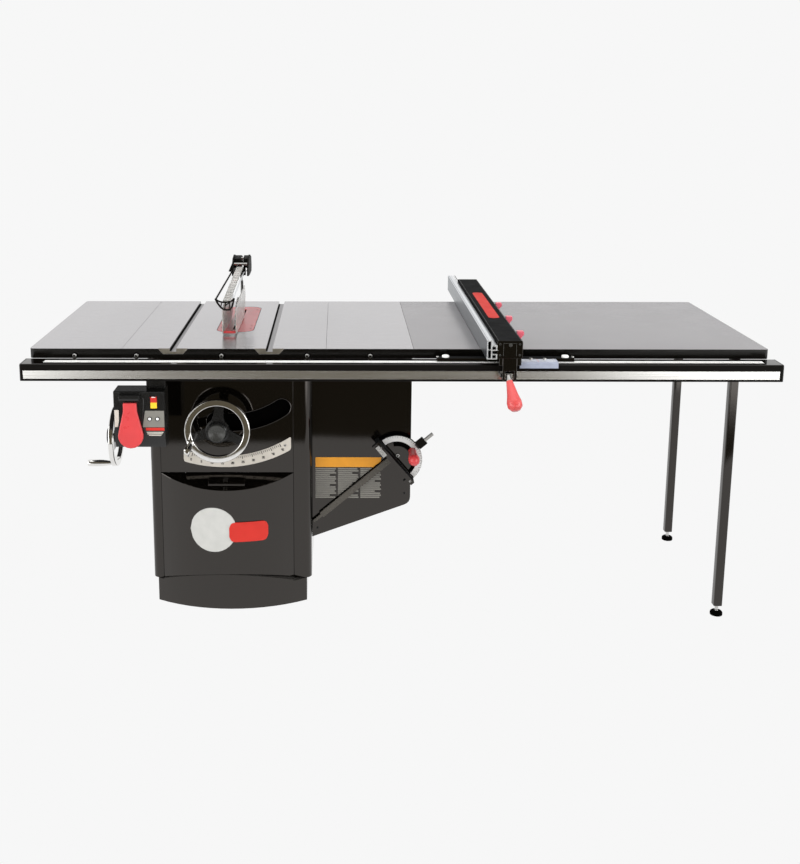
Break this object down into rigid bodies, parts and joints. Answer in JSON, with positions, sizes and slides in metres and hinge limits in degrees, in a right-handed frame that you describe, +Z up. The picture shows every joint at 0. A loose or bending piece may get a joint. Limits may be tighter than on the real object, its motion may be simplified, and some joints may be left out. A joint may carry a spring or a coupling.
{
  "type": "cabinet table saw",
  "caption": "Cabinet table saw with long extension table, T-square rip fence, tilting and rising blade, guard, handwheels, stop paddle and mitre gauge stored on the motor cover",
  "frame": {"origin": "centre of the cabinet's base, on the floor", "axes": "+X to the right along the table as the operator sees it, +Y to the back, +Z up"},
  "size_m": [2.187, 1.1989, 1.052],
  "materials": {
    "table_main": "ground and polished",
    "wing_left": "ground and polished",
    "wing_right": "ground and polished",
    "extension_table": "black laminate over board",
    "throat_insert": "moulded, glossy",
    "insert_tab": "moulded, glossy",
    "front_rail": "gloss black powder coat",
    "rail_cap_left": "satin black",
    "rail_cap_right": "satin black",
    "rail_trim": "brushed anodised",
    "rail_tape": "printed scale",
    "rail_angle": "gloss black powder coat",
    "rear_rail": "gloss black powder coat",
    "leg_front": "gloss black powder coat",
    "leg_rear": "gloss black powder coat",
    "plinth": "gloss black powder coat",
    "cabinet_left": "gloss black powder coat",
    "cabinet_right": "gloss black powder coat",
    "front_panel": "gloss black powder coat",
    "cabinet_back": "gloss black powder coat",
    "dust_port": "gloss black powder coat",
    "tilt_scale": "printed scale",
    "switch_box": "satin black",
    "status_panel": "satin",
    "front_door": "gloss black powder coat",
    "door_pull": "satin black",
    "stop_paddle": "moulded, glossy",
    "power_rocker": "moulded, glossy",
    "motor_cover": "gloss black powder coat",
    "gauge_bar": "satin black",
    "gauge_head": "satin black",
    "gauge_stop": "satin black",
    "gauge_knob": "moulded, glossy",
    "tilt_wheel": "polished",
    "tilt_crank": "polished",
    "tilt_lock_knob": "satin black",
    "trunnion": "satin black",
    "elevation_wheel": "polished",
    "elevation_crank": "polished",
    "elevation_lock_knob": "satin black",
    "arbor_block": "machined",
    "motor": "painted",
    "drive_belt": "matt",
    "riving_knife": "machined",
    "brake_cartridge": "brushed anodised",
    "blade": "machined",
    "arbor": "machined",
    "pawl": "satin black",
    "guard_frame": "satin black",
    "shield_left": "clear polycarbonate",
    "shield_right": "clear polycarbonate",
    "fence_tube": "gloss black powder coat",
    "fence_face": "brushed anodised",
    "fence_head": "gloss black powder coat",
    "fence_cursor": "clear polycarbonate",
    "fence_lever": "machined",
    "lever_handle": "moulded, glossy",
    "face_knob_1": "moulded, glossy",
    "face_knob_2": "moulded, glossy",
    "face_knob_3": "moulded, glossy"
  },
  "bodies": {
    "frame": {"table_main": "table_main", "wing_left": "wing_left", "wing_right": "wing_right", "extension_table": "extension_table", "throat_insert": "throat_insert", "insert_tab": "insert_tab", "front_rail": "front_rail", "rail_cap_left": "rail_cap_left", "rail_cap_right": "rail_cap_right", "rail_trim": "rail_trim", "rail_tape": "rail_tape", "rail_angle": "rail_angle", "rear_rail": "rear_rail", "leg_front": "leg_front", "leg_rear": "leg_rear", "plinth": "plinth", "cabinet_left": "cabinet_left", "cabinet_right": "cabinet_right", "front_panel": "front_panel", "cabinet_back": "cabinet_back", "dust_port": "dust_port", "tilt_scale": "tilt_scale", "switch_box": "switch_box", "status_panel": "status_panel"},
    "door": {"front_door": "front_door", "door_pull": "door_pull"},
    "paddle": {"stop_paddle": "stop_paddle"},
    "rocker": {"power_rocker": "power_rocker"},
    "cover": {"motor_cover": "motor_cover"},
    "gauge": {"gauge_bar": "gauge_bar"},
    "gauge_head": {"gauge_head": "gauge_head", "gauge_stop": "gauge_stop"},
    "gauge_knob": {"gauge_knob": "gauge_knob"},
    "tilt_wheel": {"tilt_wheel": "tilt_wheel"},
    "tilt_crank": {"tilt_crank": "tilt_crank"},
    "tilt_lock": {"tilt_lock_knob": "tilt_lock_knob"},
    "trunnion": {"trunnion": "trunnion"},
    "elevation_wheel": {"elevation_wheel": "elevation_wheel"},
    "elevation_crank": {"elevation_crank": "elevation_crank"},
    "elevation_lock": {"elevation_lock_knob": "elevation_lock_knob"},
    "carriage": {"arbor_block": "arbor_block", "motor": "motor", "drive_belt": "drive_belt", "riving_knife": "riving_knife", "brake_cartridge": "brake_cartridge"},
    "blade": {"blade": "blade", "arbor": "arbor"},
    "pawl": {"pawl": "pawl"},
    "guard": {"guard_frame": "guard_frame"},
    "shield_left": {"shield_left": "shield_left"},
    "shield_right": {"shield_right": "shield_right"},
    "fence": {"fence_tube": "fence_tube", "fence_face": "fence_face", "fence_head": "fence_head", "fence_cursor": "fence_cursor"},
    "fence_lever": {"fence_lever": "fence_lever", "lever_handle": "lever_handle"},
    "face_knob_1": {"face_knob_1": "face_knob_1"},
    "face_knob_2": {"face_knob_2": "face_knob_2"},
    "face_knob_3": {"face_knob_3": "face_knob_3"}
  },
  "joints": [
    {"name": "door_lift_off", "type": "slide", "parent": "frame", "child": "door", "axis": [0, -1, 0], "range_m": [0, 0.1]},
    {"name": "paddle_swing", "type": "hinge", "parent": "frame", "child": "paddle", "pos_m": [-0.2685, -0.4818, 0.7135], "axis": [-1, 0, 0], "range_deg": [0, 40]},
    {"name": "rocker_press", "type": "hinge", "parent": "frame", "child": "rocker", "pos_m": [-0.2005, -0.47, 0.714], "axis": [1, 0, 0], "range_deg": [0, 8]},
    {"name": "cover_open", "type": "hinge", "parent": "frame", "child": "cover", "pos_m": [0.2575, 0.2025, 0.5], "axis": [0, 0, 1], "range_deg": [0, 90]},
    {"name": "gauge_lift_off", "type": "slide", "parent": "cover", "child": "gauge", "axis": [0, -1, 0], "range_m": [0, 0.08]},
    {"name": "gauge_swivel", "type": "hinge", "parent": "gauge", "child": "gauge_head", "pos_m": [0.51198, -0.244, 0.46992], "axis": [0, -1, 0], "range_deg": [-50, 50]},
    {"name": "gauge_knob_turn", "type": "hinge", "parent": "gauge_head", "child": "gauge_knob", "pos_m": [0.56983, -0.304, 0.49302], "axis": [0, -1, 0], "continuous": true},
    {"name": "tilt_wheel_turn", "type": "hinge", "parent": "frame", "child": "tilt_wheel", "pos_m": [-0.3927, -0.084, 0.4919], "axis": [-1, 0, 0], "range_deg": [0, 1440]},
    {"name": "tilt_crank_spin", "type": "hinge", "parent": "tilt_wheel", "child": "tilt_crank", "pos_m": [-0.3927, -0.10565, 0.40506], "axis": [-1, 0, 0], "continuous": true},
    {"name": "tilt_lock_turn", "type": "hinge", "parent": "tilt_wheel", "child": "tilt_lock", "pos_m": [-0.3927, -0.084, 0.4919], "axis": [-1, 0, 0], "continuous": true},
    {"name": "blade_tilt", "type": "hinge", "parent": "frame", "child": "trunnion", "pos_m": [0.007, -0.014, 0.8636], "axis": [0, -1, 0], "range_deg": [0, 45]},
    {"name": "elevation_wheel_turn", "type": "hinge", "parent": "trunnion", "child": "elevation_wheel", "pos_m": [-0.0315, -0.344, 0.5881], "axis": [0, -1, 0], "range_deg": [0, 1440]},
    {"name": "elevation_crank_spin", "type": "hinge", "parent": "elevation_wheel", "child": "elevation_crank", "pos_m": [-0.11326, -0.344, 0.5517], "axis": [0, -1, 0], "continuous": true},
    {"name": "elevation_lock_turn", "type": "hinge", "parent": "elevation_wheel", "child": "elevation_lock", "pos_m": [-0.0315, -0.344, 0.5881], "axis": [0, -1, 0], "continuous": true},
    {"name": "blade_rise", "type": "slide", "parent": "trunnion", "child": "carriage", "axis": [0, 0, 1], "range_m": [-0.079, 0]},
    {"name": "blade_spin", "type": "hinge", "parent": "carriage", "child": "blade", "pos_m": [0.007, -0.024, 0.8156], "axis": [-1, 0, 0], "continuous": true},
    {"name": "pawl_swing", "type": "hinge", "parent": "carriage", "child": "pawl", "pos_m": [0.01, 0.151, 0.964], "axis": [1, 0, 0], "range_deg": [0, 35]},
    {"name": "guard_raise", "type": "hinge", "parent": "trunnion", "child": "guard", "pos_m": [0.005, 0.236, 1.02], "axis": [-1, 0, 0], "range_deg": [0, 60]},
    {"name": "shield_left_ride", "type": "slide", "parent": "guard", "child": "shield_left", "axis": [0, 0, 1], "range_m": [0, 0.03]},
    {"name": "shield_right_ride", "type": "slide", "parent": "guard", "child": "shield_right", "axis": [0, 0, 1], "range_m": [0, 0.045]},
    {"name": "fence_slide", "type": "slide", "parent": "frame", "child": "fence", "axis": [1, 0, 0], "range_m": [-0.7, 0.574]},
    {"name": "fence_lever_lift", "type": "hinge", "parent": "fence", "child": "fence_lever", "pos_m": [0.82, -0.5325, 0.812], "axis": [-1, 0, 0], "range_deg": [0, 45]},
    {"name": "face_knob_1_turn", "type": "hinge", "parent": "fence", "child": "face_knob_1", "pos_m": [0.8575, -0.406, 0.898], "axis": [1, 0, 0], "continuous": true},
    {"name": "face_knob_2_turn", "type": "hinge", "parent": "fence", "child": "face_knob_2", "pos_m": [0.8575, -0.184, 0.898], "axis": [1, 0, 0], "continuous": true},
    {"name": "face_knob_3_turn", "type": "hinge", "parent": "fence", "child": "face_knob_3", "pos_m": [0.8575, 0.046, 0.898], "axis": [1, 0, 0], "continuous": true}
  ],
  "couplings": [
    {"joint": "blade_tilt", "follows": "tilt_wheel_turn", "ratio": 0.03125},
    {"joint": "shield_left_ride", "follows": "tilt_wheel_turn", "m_per_rad": 0.0011141},
    {"joint": "blade_rise", "follows": "elevation_wheel_turn", "m_per_rad": -0.003143}
  ]
}
